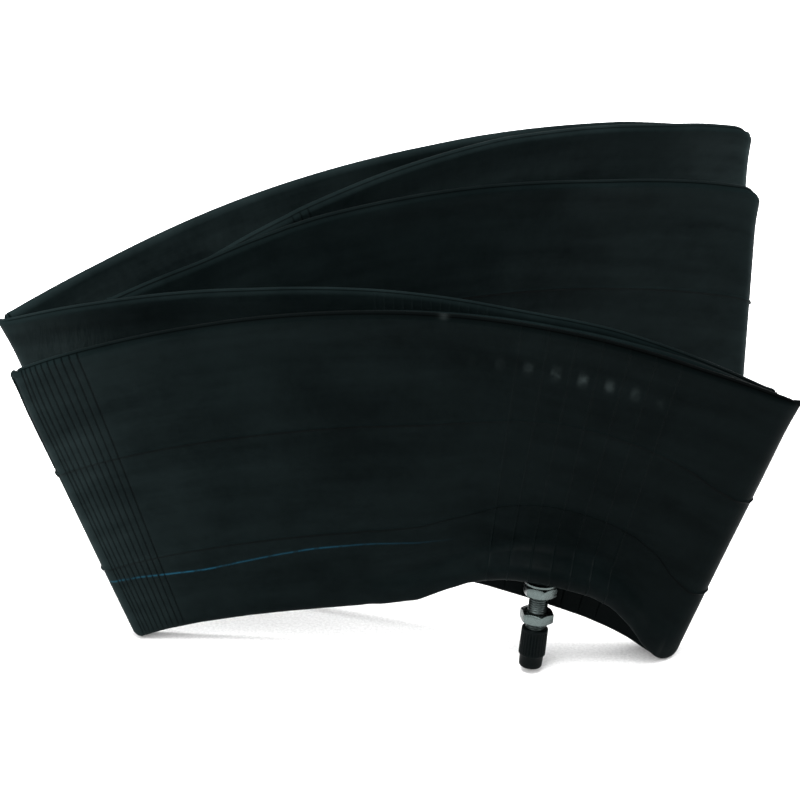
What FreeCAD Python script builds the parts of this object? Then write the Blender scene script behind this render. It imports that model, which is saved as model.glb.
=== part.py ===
"""Folded motorcycle inner tube with a clamp-in metal valve, standing on its inner edge.

The flattened tube is one closed ribbon.  It is folded into eight upright layers, which fan
out to the right like a half-opened book.  The valve hangs from the front layer.
All sizes are millimetres.  +X runs along the layers, +Y to the back, +Z up.
"""
import FreeCAD
import Part
import math
import os

Vector = FreeCAD.Vector

# ---- driving dimensions of the tube ------------------------------------------------------
wall_pair = 3.2          # two rubber walls lying on each other
layer_pitch = 4.0        # distance between neighbouring layers where they lie tight
front_crown_radius = 370.0   # crown edge of the four front layers, seen from the front
front_crown_height = 152.8
front_crown_centre_x = 156.0
rear_crown_radius = 388.0    # crown edge of the four rear layers
crown_height = 154.5         # top of the rear layers above the ground
rear_crown_centre_x = 163.0
front_rim_radius = 262.0     # rim edge of the four front layers
front_rim_height = 21.5
front_rim_centre_x = 160.0
rear_rim_radius = 250.0      # rim edge of the four rear layers
rear_rim_height = 28.0
rear_rim_centre_x = 179.0
rear_start_y = 33.2          # the rear layers begin behind this plane
corner_height = 122.0    # height at which the upper plan of the folds is given
fold_radius = 1.9        # centre line of a tight fold
bundle_radius = 5.8      # centre line of the fold that wraps the inner right fold
bend_radius = 160.0      # centre line of a gentle bend within a layer

# ---- driving dimensions of the valve -----------------------------------------------------
valve_base = Vector(213.0, -20.4, 38.0)      # where the washer's seat meets the valve axis
valve_lean_side = 6.5                        # degrees, tip towards -X
valve_lean_front = 8.0                       # degrees, tip towards -Y
stem_radius = 3.87
stem_bore = 2.0
core_thread_radius = 2.6
core_thread_depth = 6.0
stem_tip = 34.3          # distances along the valve axis, from the seat towards the tip
flange_radius = 6.0
flange_thickness = 1.2
patch_seat_radius = 4.7       # inside the dished washer
patch_radius = 8.0            # buried in the tube
patch_thickness = 5.0
thread_clearance = 0.05
washer_radius = 6.7
washer_thickness = 0.9
washer_dish = 0.7
nut_across_flats = 12.0
clamp_nut_start = 1.7
clamp_nut_height = 4.0
rim_nut_start = 12.9
rim_nut_height = 4.2
cap_start = 19.9
cap_end = 36.7
cap_grip_end = 31.3
cap_grip_radius = 5.25
cap_nose_radius = 4.65
cap_flutes = 26
cap_flute_radius = 0.32
cap_bore_end = 34.9
core_plug_end = 33.7
core_plug_start = 28.3
core_plug_radius = 2.58
core_barrel_start = 18.7
core_barrel_radius = 1.6
core_barrel_bore = 1.05
gasket_start = 25.9
gasket_length = 2.0
pin_radius = 0.4
pin_hole_radius = 0.55
pin_end = 34.0
pin_collar_radius = 0.8
pin_collar_start = 27.1
pin_collar_length = 0.7
cup_radius = 1.5
cup_depth = 1.6
cup_seal_thickness = 0.7
spring_start = 20.3
spring_wire_radius = 0.13
spring_coil_radius = 0.72
spring_turns = 9
barrel_shoulder = 1.3

# ---- driving dimensions of the tube round the valve ---------------------------------------
notch_radius = 44.0      # the front layer's rim edge rises in this arc over the valve
notch_top = 39.0
lifted_radius = 60.0     # the rim edges of all four front layers rise in this arc beside it
lifted_top = 29.0
lifted_centre_x = 200.0
boss_radius = 9.8        # rubber swollen over the valve's base
boss_swell = 7.0         # height of its widest place above the seat
boss_height = 50.0
boss_top_radius = 3.0

# Plan of the ribbon's centre line, followed round from the front layer's left fold.
# Each row: name, (x, y) at corner_height, (x, y) on the ground, corner radius.
ribbon_plan = [
    ("front_left", (6.7, 0.0), (55.1, -3.2), fold_radius),
    ("front_right", (312.5, -20.0), (264.9, -19.0), bundle_radius),
    ("fourth_right", (312.5, -7.9), (264.9, -6.9), bundle_radius),
    ("fourth_bend", (206.0, -0.7), (206.0, -2.6), bend_radius),
    ("fourth_left", (45.0, 36.0), (98.0, 30.6), fold_radius),
    ("fifth_left", (45.0, 40.5), (98.0, 35.4), fold_radius),
    ("fifth_bend", (116.0, 60.0), (150.0, 66.0), bend_radius),
    ("fifth_right", (300.0, 126.6), (295.2, 125.3), fold_radius),
    ("sixth_right", (300.0, 130.9), (295.2, 129.7), fold_radius),
    ("sixth_bend", (114.8, 64.0), (148.2, 69.9), bend_radius),
    ("sixth_left", (62.0, 49.3), (108.0, 46.2), fold_radius),
    ("seventh_left", (62.0, 53.8), (108.0, 51.0), fold_radius),
    ("seventh_bend", (102.0, 65.2), (146.0, 78.0), bend_radius),
    ("seventh_turn", (240.0, 146.5), (240.0, 142.5), bend_radius),
    ("seventh_right", (298.6, 171.6), (295.0, 170.9), fold_radius),
    ("last_right", (298.6, 176.3), (295.0, 175.6), fold_radius),
    ("last_left", (-2.3, 42.0), (42.5, 42.0), fold_radius),
    ("third_bend", (205.0, -4.7), (205.0, -6.6), bend_radius),
    ("third_right", (303.5, -11.4), (255.9, -10.4), fold_radius),
    ("second_right", (303.5, -15.4), (255.9, -14.4), fold_radius),
    ("second_left", (6.7, 4.0), (55.1, 0.8), fold_radius),
]

# The origin is the middle of the object's box, on the ground.
origin = Vector(156.9, 73.5, 0.0)


def corner_at(row, height):
    """Plan position of one corner of the ribbon's centre line at a height above the ground."""
    _, (upper_x, upper_y), (lower_x, lower_y), _ = row
    share = height / corner_height
    return Vector(lower_x + (upper_x - lower_x) * share,
                  lower_y + (upper_y - lower_y) * share, height)


def offset_corner(before, corner, after, side):
    """The corner of the line that runs at a distance 'side' to the left of the centre line."""
    first = (corner - before).normalize()
    second = (after - corner).normalize()
    normal_first = Vector(-first.y, first.x, 0)
    normal_second = Vector(-second.y, second.x, 0)
    bisector = normal_first + normal_second
    scale = 2.0 * side / bisector.dot(bisector)
    return corner + bisector * scale


def rounded_wire(height, side):
    """Closed wire of straight runs and corner arcs, at a height and a side distance."""
    centre = [corner_at(row, height) for row in ribbon_plan]
    count = len(centre)
    points = [offset_corner(centre[i - 1], centre[i], centre[(i + 1) % count], side)
              for i in range(count)]
    starts, middles, ends = [], [], []
    for i in range(count):
        before = (points[i - 1] - points[i]).normalize()
        after = (points[(i + 1) % count] - points[i]).normalize()
        turn = before.cross(after).z
        radius = ribbon_plan[i][3] + (side if turn > 0 else -side)
        half_angle = before.getAngle(after) / 2.0
        reach = radius / math.tan(half_angle)
        inward = (before + after).normalize()
        arc_centre = points[i] + inward * (radius / math.sin(half_angle))
        starts.append(points[i] + before * reach)
        ends.append(points[i] + after * reach)
        middles.append(arc_centre - inward * radius)
    edges = []
    for i in range(count):
        edges.append(Part.Arc(starts[i], middles[i], ends[i]).toShape())
        edges.append(Part.LineSegment(ends[i], starts[(i + 1) % count]).toShape())
    return Part.Wire(edges)


def leaning_prism(side):
    """Solid inside the ribbon's boundary at a side distance, from below ground to above it."""
    low, high = -6.0, crown_height + 6.0
    wires = [rounded_wire(low, side), rounded_wire(high, side)]
    return Part.makeLoft(wires, True, True)


def long_cylinder(radius, centre_x, top_z, start_y, end_y):
    """Cylinder that lies along Y with its highest line at top_z."""
    return Part.makeCylinder(radius, end_y - start_y, Vector(centre_x, start_y, top_z - radius),
                             Vector(0, 1, 0))


def arch_slab():
    """Side view of the standing ribbon: crown arcs on top, rim arcs and the ground below."""
    front, back = -60.0, 260.0
    front_crown = long_cylinder(front_crown_radius, front_crown_centre_x, front_crown_height,
                                front, rear_start_y)
    rear_crown = long_cylinder(rear_crown_radius, rear_crown_centre_x, crown_height,
                               rear_start_y, back)
    front_ground = Part.makeBox(600, rear_start_y - front, 400, Vector(-140, front, 0))
    rear_ground = Part.makeBox(600, back - rear_start_y, 400, Vector(-140, rear_start_y, 0))
    front_rim = long_cylinder(front_rim_radius, front_rim_centre_x, front_rim_height,
                              front, rear_start_y)
    lifted_rim = long_cylinder(lifted_radius, lifted_centre_x, lifted_top, front, rear_start_y)
    rear_rim = long_cylinder(rear_rim_radius, rear_rim_centre_x, rear_rim_height,
                             rear_start_y, back)
    front_slab = front_crown.common(front_ground).cut(front_rim).cut(lifted_rim)
    rear_slab = rear_crown.common(rear_ground).cut(rear_rim)
    return front_slab.fuse(rear_slab)


def front_layer_frame():
    """Placement whose Y = 0 plane is the front layer's middle plane at the valve."""
    left, right = Vector(*ribbon_plan[0][1], 0), Vector(*ribbon_plan[1][1], 0)
    share = (valve_base.x - left.x) / (right.x - left.x)
    angle = math.degrees(math.atan2(right.y - left.y, right.x - left.x))
    return FreeCAD.Placement(left + (right - left) * share,
                             FreeCAD.Rotation(Vector(0, 0, 1), angle))


def valve_notch():
    """The front layer's rim edge rises here, pushed in by the valve's base."""
    cutter = long_cylinder(notch_radius, 0.0, notch_top, -40.0, layer_pitch / 2.0)
    cutter.Placement = front_layer_frame().multiply(cutter.Placement)
    return cutter


def valve_boss():
    """Rubber swollen over the valve's base: it runs out up the front layer."""
    swell = placed(turned([(0, 0), (patch_seat_radius + 0.7, 0), (boss_radius, -boss_swell),
                           (boss_top_radius, -boss_height), (0, -boss_height)]))
    keep = Part.makeBox(200, 200, 300, Vector(-100, -200, 0))
    keep.Placement = front_layer_frame()
    return swell.common(keep)


def inner_tube():
    """The rubber tube: the ribbon between its two boundaries, cut to the arch."""
    half = wall_pair / 2.0
    ribbon = leaning_prism(-half).cut(leaning_prism(half))
    tube = ribbon.common(arch_slab()).cut(valve_notch()).fuse(valve_boss())
    return tube.cut(placed(base_patch_envelope()))


def placed(shape):
    """Moves a shape from the valve's own frame, where +Z runs from seat to tip, to the object."""
    axis = Vector(-math.tan(math.radians(valve_lean_side)),
                  -math.tan(math.radians(valve_lean_front)), -1)
    moved = shape.copy()
    moved.Placement = FreeCAD.Placement(valve_base, FreeCAD.Rotation(Vector(0, 0, 1), axis))
    return moved


def disc(radius, start, length):
    return Part.makeCylinder(radius, length, Vector(0, 0, start))


def turned(profile):
    """Solid of revolution about the valve axis, from a closed list of (radius, distance)."""
    points = [Vector(r, 0, t) for r, t in profile]
    face = Part.Face(Part.makePolygon(points + points[:1]))
    return face.revolve(Vector(0, 0, 0), Vector(0, 0, 1), 360)


def base_patch_envelope():
    """Outer shape of the rubber patch: a cone from the washer's dish into the tube."""
    foot = washer_dish - 0.02
    return turned([(0, foot), (patch_seat_radius, foot), (patch_radius, -patch_thickness),
                   (0, -patch_thickness)])


def base_patch():
    """Rubber pad vulcanised round the valve's base flange."""
    flange_top = -patch_thickness + 1.4
    flange = disc(flange_radius, flange_top, flange_thickness)
    shank = disc(stem_radius, -patch_thickness - 1.0, patch_thickness + 2.0)
    return base_patch_envelope().cut(flange).cut(shank)


def valve_stem():
    """Plated brass stem: flange buried in the patch, straight shank, bore for the core."""
    flange_top = -patch_thickness + 1.4
    tip_chamfer = 0.5
    shank = turned([(0, -patch_thickness), (stem_radius, -patch_thickness),
                    (stem_radius, stem_tip - tip_chamfer),
                    (stem_radius - tip_chamfer, stem_tip), (0, stem_tip)])
    body = shank.fuse(disc(flange_radius, flange_top, flange_thickness))
    bore = disc(stem_bore, -patch_thickness - 1.0, stem_tip + patch_thickness + 2.0)
    socket = disc(core_thread_radius, stem_tip - core_thread_depth, core_thread_depth + 1.0)
    return body.cut(bore.fuse(socket)).removeSplitter()


def clamp_washer():
    """Dished washer under the clamp nut; the rubber patch sits in its dish."""
    hole = stem_radius + thread_clearance + 0.1
    washer_flat_radius = 4.9
    nut_face_radius = 5.7
    return turned([(hole, washer_dish), (washer_flat_radius, washer_dish), (washer_radius, 0.02),
                   (washer_radius, washer_thickness), (nut_face_radius, clamp_nut_start - 0.02),
                   (hole, clamp_nut_start - 0.02)])


def hex_nut(start, height):
    """Hexagon nut, chamfered on both faces, bored to run on the stem."""
    corner = nut_across_flats / math.sqrt(3)
    points = [Vector(corner * math.cos(math.radians(a)), corner * math.sin(math.radians(a)), start)
              for a in range(0, 360, 60)]
    prism = Part.Face(Part.makePolygon(points + points[:1])).extrude(Vector(0, 0, height))
    flat = nut_across_flats / 2.0
    chamfer = 0.55
    cone = turned([(0, start), (flat - 0.1, start), (corner + 0.1, start + chamfer),
                   (corner + 0.1, start + height - chamfer), (flat - 0.1, start + height),
                   (0, start + height)])
    bore = disc(stem_radius + thread_clearance, start - 1, height + 2)
    return prism.common(cone).cut(bore)


def dust_cap():
    """Plastic cap: fluted grip, plain nose, blind bore that screws on the stem's end."""
    step = 0.5
    nose_round = 0.8
    bore = stem_radius + thread_clearance
    body = turned([(bore, cap_start), (cap_grip_radius - 0.3, cap_start),
                   (cap_grip_radius, cap_start + 0.5), (cap_grip_radius, cap_grip_end),
                   (cap_nose_radius, cap_grip_end + step),
                   (cap_nose_radius - 0.15, cap_end - nose_round),
                   (cap_nose_radius - nose_round, cap_end), (0, cap_end), (0, cap_bore_end),
                   (bore, cap_bore_end)])
    flute_margin = 1.1
    flute_length = cap_grip_end - cap_start - 1.6 * flute_margin
    flutes = []
    for i in range(cap_flutes):
        angle = 2 * math.pi * i / cap_flutes
        place = Vector(cap_grip_radius * math.cos(angle), cap_grip_radius * math.sin(angle),
                       cap_start + flute_margin)
        flutes.append(Part.makeCylinder(cap_flute_radius, flute_length, place))
    return body.cut(flutes)


def core_plug():
    """Threaded head of the valve core, bored for the pin and slotted for the core key."""
    body = disc(core_plug_radius, core_plug_start, core_plug_end - core_plug_start)
    ear_width = 2.0
    slot_depth = 1.8
    ears = Part.makeBox(2 * core_plug_radius + 1, ear_width, slot_depth + 1,
                        Vector(-core_plug_radius - 0.5, -ear_width / 2, core_plug_end - slot_depth))
    key_zone = disc(core_plug_radius + 1, core_plug_end - slot_depth, slot_depth + 1)
    hole = disc(pin_hole_radius, core_plug_start - 1, core_plug_end)
    return body.cut(key_zone.cut(ears)).cut(hole)


def core_barrel():
    """Barrel of the core; its lower shoulder carries the spring and its end is the seat."""
    wide = disc(core_barrel_bore, core_barrel_start + barrel_shoulder, 20)
    narrow = disc(pin_hole_radius, core_barrel_start - 1, 20)
    barrel = disc(core_barrel_radius, core_barrel_start, core_plug_start - core_barrel_start)
    return barrel.cut(wide).cut(narrow)


def core_gasket():
    """Sealing ring between the barrel and the stem's bore."""
    return disc(stem_bore, gasket_start, gasket_length).cut(
        disc(core_barrel_radius, gasket_start - 1, gasket_length + 2))


def core_pin():
    """Pin that is pressed to let air pass; its collar sits on the spring."""
    start = core_barrel_start - cup_depth
    collar = disc(pin_collar_radius, pin_collar_start, pin_collar_length)
    return disc(pin_radius, start, pin_end - start).fuse(collar).removeSplitter()


def core_cup():
    """Brass cup at the pin's inner end that holds the cup seal."""
    start = core_barrel_start - cup_depth
    height = cup_depth - cup_seal_thickness
    return disc(cup_radius, start, height).cut(disc(pin_radius, start - 1, cup_depth + 2))


def core_cup_seal():
    """Rubber washer in the cup that closes against the barrel's end."""
    start = core_barrel_start - cup_seal_thickness
    return disc(cup_radius - 0.1, start, cup_seal_thickness - 0.02).cut(
        disc(pin_radius, start - 1, cup_seal_thickness + 2))


def core_spring():
    """Coil spring inside the barrel that lifts the pin to its closed place."""
    height = pin_collar_start - spring_start - 2 * spring_wire_radius - 0.1
    helix = Part.makeHelix(height / spring_turns, height, spring_coil_radius)
    ring = Part.Wire(Part.makeCircle(spring_wire_radius, Vector(spring_coil_radius, 0, 0),
                                     Vector(0, 1, 0)))
    spring = Part.Wire(helix).makePipeShell([ring], True, True)
    spring.translate(Vector(0, 0, spring_start + spring_wire_radius))
    return spring


def export(name, shape):
    """Writes one node, moved to the object's origin, and reports its soundness."""
    moved = shape.copy()
    moved.translate(-origin)
    solids = moved.Solids
    print(f"{name:14s} solids {len(solids)} valid {moved.isValid()} volume {moved.Volume:12.2f}")
    Part.makeCompound(solids).exportStep(f"parts/{name}.step")
    return moved.optimalBoundingBox(False)


def main():
    os.makedirs("parts", exist_ok=True)
    box = export("inner_tube", inner_tube())
    valve_parts = {
        "base_patch": base_patch(),
        "valve_stem": valve_stem(),
        "clamp_washer": clamp_washer(),
        "clamp_nut": hex_nut(clamp_nut_start, clamp_nut_height),
        "rim_nut": hex_nut(rim_nut_start, rim_nut_height),
        "dust_cap": dust_cap(),
        "core_plug": core_plug(),
        "core_barrel": core_barrel(),
        "core_gasket": core_gasket(),
        "core_pin": core_pin(),
        "core_cup": core_cup(),
        "core_cup_seal": core_cup_seal(),
        "core_spring": core_spring(),
    }
    for name, shape in valve_parts.items():
        box.add(export(name, placed(shape)))
    print("box centre", round(box.Center.x, 3), round(box.Center.y, 3), "ground", round(box.ZMin, 3))
    print("box size", round(box.XLength, 2), round(box.YLength, 2), round(box.ZLength, 2))


main()
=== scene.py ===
import math

import bmesh
import bpy
import numpy as np
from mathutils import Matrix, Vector


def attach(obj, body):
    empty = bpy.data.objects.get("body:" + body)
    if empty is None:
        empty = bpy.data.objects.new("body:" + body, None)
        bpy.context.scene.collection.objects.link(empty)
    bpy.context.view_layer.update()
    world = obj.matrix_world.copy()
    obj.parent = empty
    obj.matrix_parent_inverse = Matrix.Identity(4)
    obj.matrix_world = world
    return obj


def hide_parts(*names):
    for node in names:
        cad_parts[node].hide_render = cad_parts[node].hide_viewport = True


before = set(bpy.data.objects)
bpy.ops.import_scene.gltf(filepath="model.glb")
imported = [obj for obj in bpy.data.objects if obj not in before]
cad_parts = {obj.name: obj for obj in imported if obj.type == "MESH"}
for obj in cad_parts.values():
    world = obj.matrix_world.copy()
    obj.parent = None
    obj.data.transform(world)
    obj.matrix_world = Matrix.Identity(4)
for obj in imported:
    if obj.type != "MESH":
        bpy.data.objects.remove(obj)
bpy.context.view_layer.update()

MM = 0.001

# ---- the folded tube, in millimetres before the origin is taken off ---------------------------
ORIGIN = np.array([156.9, 73.5])
HALF = 1.6                           # half of the two walls lying on each other
CORNER_HEIGHT = 122.0                # the plan's upper points are at this height, the lower at 0
FRONT_CROWN = (370.0, 156.0, 152.8)  # crown arc of the front layers: radius, centre x, top z
REAR_CROWN = (388.0, 163.0, 154.5)
REAR_RIM = (250.0, 179.0, 28.0)      # rim arc of the rear layers
REAR_START_Y = 33.2                  # behind this the layers follow the rear arcs
FOLD = 1.9                           # corner radii: of a plain fold,
BUNDLE = 5.8                         # of a fold that wraps another,
BEND = 160.0                         # and of a gentle bend
TIGHTEST_BEND = 20.0                 # a corner of a smaller radius is a fold
FAR = 99.0                           # stands for "nowhere near a fold"
MIDDLE_HEIGHT = 80.0                 # where lengths along the ribbon are measured
SHORT_RUN = 20.0                     # a run no longer than this joins two corners of one fold
RIM_ROUND = 2.6                      # height of the rounded rim edge
# Each corner: name, upper (x, y), lower (x, y), corner radius, rounding of the crown's corner.
PLAN = [
    ("front_left", (6.7, 0.0), (55.1, -3.2), FOLD, 2.2),
    ("front_right", (312.5, -20.0), (264.9, -19.0), BUNDLE, 2.0),
    ("fourth_right", (312.5, -7.9), (264.9, -6.9), BUNDLE, 2.5),
    ("fourth_bend", (206.0, -0.7), (206.0, -2.6), BEND, 0.0),
    ("fourth_left", (45.0, 36.0), (98.0, 30.6), FOLD, 4.0),
    ("fifth_left", (45.0, 40.5), (98.0, 35.4), FOLD, 4.0),
    ("fifth_bend", (116.0, 60.0), (150.0, 66.0), BEND, 0.0),
    ("fifth_right", (300.0, 126.6), (295.2, 125.3), FOLD, 4.5),
    ("sixth_right", (300.0, 130.9), (295.2, 129.7), FOLD, 4.5),
    ("sixth_bend", (114.8, 64.0), (148.2, 69.9), BEND, 0.0),
    ("sixth_left", (62.0, 49.3), (108.0, 46.2), FOLD, 4.0),
    ("seventh_left", (62.0, 53.8), (108.0, 51.0), FOLD, 4.0),
    ("seventh_bend", (102.0, 65.2), (146.0, 78.0), BEND, 0.0),
    ("seventh_turn", (240.0, 146.5), (240.0, 142.5), BEND, 0.0),
    ("seventh_right", (298.6, 171.6), (295.0, 170.9), FOLD, 3.6),
    ("last_right", (298.6, 176.3), (295.0, 175.6), FOLD, 3.6),
    ("last_left", (-2.3, 42.0), (42.5, 42.0), FOLD, 3.0),
    ("third_bend", (205.0, -4.7), (205.0, -6.6), BEND, 0.0),
    ("third_right", (303.5, -11.4), (255.9, -10.4), FOLD, 3.0),
    ("second_right", (303.5, -15.4), (255.9, -14.4), FOLD, 3.0),
    ("second_left", (6.7, 4.0), (55.1, 0.8), FOLD, 2.2),
]
CORNERS = [row[0] for row in PLAN]

# How far each layer's crown sags below its arc, along x.
SAG = {
    "front": [(5, 0), (80, 0.8), (160, 0), (204, 0), (235, 0.2), (273, 1.4), (300, 0.4), (312, 0)],
    "second": [(5, 4.2), (20, 3.6), (80, 3.4), (150, 2.2), (204, 1.2), (235, 1), (273, 1.6),
               (303, 3.4)],
    "third": [(0, 0), (60, 0.8), (100, 1.5), (150, 0), (190, -0.4), (220, -0.8), (240, -0.7),
              (262, 1), (289, 2.9), (303, 4)],
    "fourth": [(45, 5), (60, 5), (100, 4.5), (150, 3), (190, 2.4), (220, 2), (262, 3.8), (289, 6.4),
               (302, 8.6), (314, 9.6)],
    "fifth": [(35, 7), (48, 6.4), (79, 5.5), (100, 2.5), (112, 0.8), (125, 0), (238, 0), (280, -1.8),
              (299, -2)],
    "sixth": [(50, 10), (79, 9), (100, 5.8), (125, 3), (238, 3), (280, 1.6), (290, 2.6), (301, 3.8)],
    "seventh": [(53, 12), (62, 12), (79, 10), (98, 5.5), (118, 2.9), (150, 0.3), (199, -2.4), (240, -1.8),
                (264, -2.4), (281, -4.0), (300, -4.6)],
    "last": [(0, 0), (40, 1.2), (170, 1.2), (217, -0.4), (248, -1.3), (265, -0.8), (284, -0.2),
             (292, 1.4), (301, 2)],
}

# Rim edge of the four front layers, and the front wall's lip where it is pushed up over the valve.
FRONT_RIM = [(40, 0), (53, 0), (65, 4.7), (79, 8.8), (99, 13.2), (114, 15.9), (130, 18.4), (150, 21.2),
             (165, 24.4), (176, 29.6), (184, 32.8), (195, 29.2), (208, 25.3), (218, 22), (230, 17.8),
             (240, 13.2), (249, 8), (256, 3.2), (260, 0.4), (265, 0)]
LIP = [(150, 21.2), (165, 24.5), (176, 30.2), (184, 33.8), (193, 37), (199, 38.7), (207, 39.6), (213, 39.3),
       (221, 37.6), (233, 33), (241, 27.4), (248.4, 17.8), (252.6, 9), (258, 2.4), (262, 0.2), (266, 0)]
SWELL = [(130, 0), (145, 0.8), (160, 2), (176, 4), (188, 6), (199, 8.8), (207, 11), (213, 12), (221, 11.4),
         (233, 9.6), (241, 8), (248, 6.4), (254, 4.4), (260, 1.8), (266, 0)]
SWELL_REACH = 17.0            # the swell fades out over this height above the lip
LIP_RANGE = (145.0, 266.0)    # the lip stands off the rim edge between these places along x
FULL_DENT = 7.0               # a lip this far above the rim edge has its whole hollow behind it

# How pale the rubber is on each layer, along x: partly its bloom, partly painted light and shade, brighter
# towards the left, darker towards the right of the front layer, and brighter on the layers that those in
# front shade.
BLOOM_AND_PAINTED_LIGHT = {
    "front": [(5, 2.05), (34, 1.95), (56, 1.3), (100, 0.95), (160, 0.8), (230, 0.62), (300, 0.52)],
    "second": [(5, 1.8), (40, 1.2), (200, 1.8), (300, 1.0)],
    "third": [(0, 2.3), (40, 2.1), (90, 2.2), (150, 2.1), (220, 1.9), (300, 0.8)],
    "fifth": [(110, 1.6), (160, 1.25), (300, 1.35)],
    "seventh": [(60, 3.0), (150, 2.9), (240, 2.6), (300, 2.2)],
    "last": [(0, 3.6), (60, 4.4), (200, 3.6), (300, 1.6)],
}
PALE_SCALE = 5.0              # the mesh holds the level divided by this

# Lines across the tube: the corner before the run that carries them, first and last share of the
# run, number, height, and how their spacing grows along the run.
RIDGE_GROUPS = [
    ("front_left", 0.006, 0.094, 10, -0.34, 1.2),
    ("front_left", 0.648, 0.854, 7, 0.36, 1.0),
    ("last_left", 0.775, 0.99, 13, 0.24, 1.0),
    ("seventh_bend", 0.005, 0.06, 3, -0.26, 1.0),
]
RIDGE_WIDTH = 0.36
SEAMS = [0.624, 0.25]         # lines along the tube, as shares of the wall's height
SEAM_RISE = 0.30
SEAM_WIDTH = 0.40
SEAM_GAP = (225.0, 42.0)      # the dark of these lines fades in the creases here: place, width
CREASE = 2.4                  # height of the rounded crown edge
MOULD_LINE = 30.0             # mould line on the front of the crown edge, degrees from its top
MOULD_LINE_REACH = 5.0
MOULD_LINE_RISE = 0.3
CROWN_TOP = 33.0              # up to this angle the crown edge belongs to neither wall

# ---- the valve, measured along its axis from the washer's seat --------------------------------
VALVE_BASE = np.array([213.0, -20.4, 38.0])
VALVE_LEAN_SIDE = 6.5
VALVE_LEAN_FRONT = 8.0
THREAD_CREST = 3.87
THREAD_DEPTH = 0.5
THREAD_PITCH = 1.0
STEM_TIP = 34.3
FLANGE = (-3.6, -2.4, 6.0)    # from, to, radius
STEM_START = -5.0
STEM_BORE = 2.0
CORE_SOCKET = 2.6
CORE_SOCKET_DEPTH = 6.0
CAP_START = 19.9
CAP_GRIP = 5.25               # radii of the cap's grip, of its nose and of its bore
CAP_NOSE = 4.65
CAP_BORE = 3.92


# ---- plan of the ribbon ------------------------------------------------------------------------
def unit(v):
    return v / np.linalg.norm(v)


def corner_arcs(upper):
    """Start, end and centre of every corner's arc, at the upper or the lower plan."""
    points = [np.array(row[1] if upper else row[2], float) for row in PLAN]
    arcs = []
    for i, point in enumerate(points):
        before = unit(points[i - 1] - point)
        after = unit(points[(i + 1) % len(points)] - point)
        half_angle = math.acos(np.clip(before @ after, -1, 1)) / 2
        radius = PLAN[i][3]
        reach = radius / math.tan(half_angle)
        centre = point + unit(before + after) * radius / math.sin(half_angle)
        arcs.append((point + before * reach, point + after * reach, centre))
    return arcs


def on_arc(arc, share):
    """Points on a corner's arc, at shares of its turn."""
    start, end, centre = arc
    a, b = start - centre, end - centre
    turn = math.atan2(a[0] * b[1] - a[1] * b[0], a @ b) * share
    return centre + np.stack([a[0] * np.cos(turn) - a[1] * np.sin(turn),
                              a[0] * np.sin(turn) + a[1] * np.cos(turn)], axis=1)


def is_tight(i):
    return PLAN[i % len(PLAN)][3] < TIGHTEST_BEND


def tip_reach(i):
    """Distance from the start of a fold's arc to the fold's outermost line."""
    return PLAN[i % len(PLAN)][3] + HALF - 0.5


def tip_distance(i, share):
    """Distance from samples on a fold's arc to the fold's outermost line."""
    reach = tip_reach(i)
    if is_tight(i - 1) == is_tight(i + 1):
        return reach * (1 - np.sin(math.pi * share))
    if is_tight(i + 1):
        return reach * (1 - np.sin(math.pi / 2 * share))
    return reach * (1 - np.cos(math.pi / 2 * share))


def run_shares(i, length):
    """Shares along the straight run after corner i: closer at ridges and beside folds."""
    number = max(2, int(length / 2.2))
    shares = np.arange(number) / number
    ends = np.array([0.5, 1.1, 1.9, 2.9, 4.1, 5.5, 7.1]) / length
    extra = []
    if length > SHORT_RUN and is_tight(i):
        shares = shares[shares * length > 8.0]
        extra.append(np.concatenate([[0.0], ends]))
    if length > SHORT_RUN and is_tight(i + 1):
        shares = shares[(1 - shares) * length > 8.0]
        extra.append(1 - ends)
    steps = np.array([-2.4, -1.5, -0.9, -0.45, 0, 0.45, 0.9, 1.5, 2.4]) * RIDGE_WIDTH / length
    for place in ridge_places(i):
        shares = shares[np.abs(shares - place[0]) > 2.8 * RIDGE_WIDTH / length]
        extra.append(place[0] + steps)
    merged = np.sort(np.concatenate([shares] + extra))
    return merged[(merged >= 0) & (merged < 1)]


def ridge_places(i):
    """Place and height of every ridge on the run after corner i."""
    places = []
    for run, first, last, number, height, spread in RIDGE_GROUPS:
        if run == PLAN[i][0]:
            places += [(first + (last - first) * t ** spread, height)
                       for t in np.linspace(0, 1, number)]
    return places


def layer(name):
    """Name of the layer that the run after a corner belongs to."""
    return "third" if name == "last_left" else name.split("_")[0]


def bloom_and_painted_light(ribbon):
    """Paleness round the ribbon: partly bloom, partly painted light and shade."""
    level = np.ones(ribbon.number)
    for i, row in enumerate(PLAN):
        if layer(row[0]) in BLOOM_AND_PAINTED_LIGHT:
            own = ribbon.corner == i
            level[own] = along(BLOOM_AND_PAINTED_LIGHT[layer(row[0])], ribbon.at(MIDDLE_HEIGHT)[own, 0])
    return smooth(level, ribbon.run, 8.0)


def arc_height(arc, x):
    """Height at x of an upward arc given by its radius, centre x and top z."""
    radius, centre, height = arc
    return height - radius + np.sqrt(np.maximum(radius ** 2 - (x - centre) ** 2, 0))


def along(table, x):
    """Value at x of a table of (x, value)."""
    return np.interp(x, [row[0] for row in table], [row[1] for row in table])


def smooth(values, run, width):
    """Weighted running mean round the closed ribbon, over a width in millimetres along the run."""
    step = 0.5
    even = np.arange(0, run[-1] + step, step)
    level = np.interp(even, run, values)
    kernel = np.hanning(int(width / step) * 2 + 3)
    kernel /= kernel.sum()
    half = len(kernel) // 2
    level = np.convolve(np.concatenate([level[-half:], level, level[:half]]), kernel, mode="valid")
    return np.interp(run, even, level)


def ease(t):
    """Smooth step from 0 to 1."""
    t = np.clip(t, 0, 1)
    return t * t * (3 - 2 * t)


def near(distance, width):
    """Bell curve of a distance."""
    return np.exp(-(distance / width) ** 2)


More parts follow.
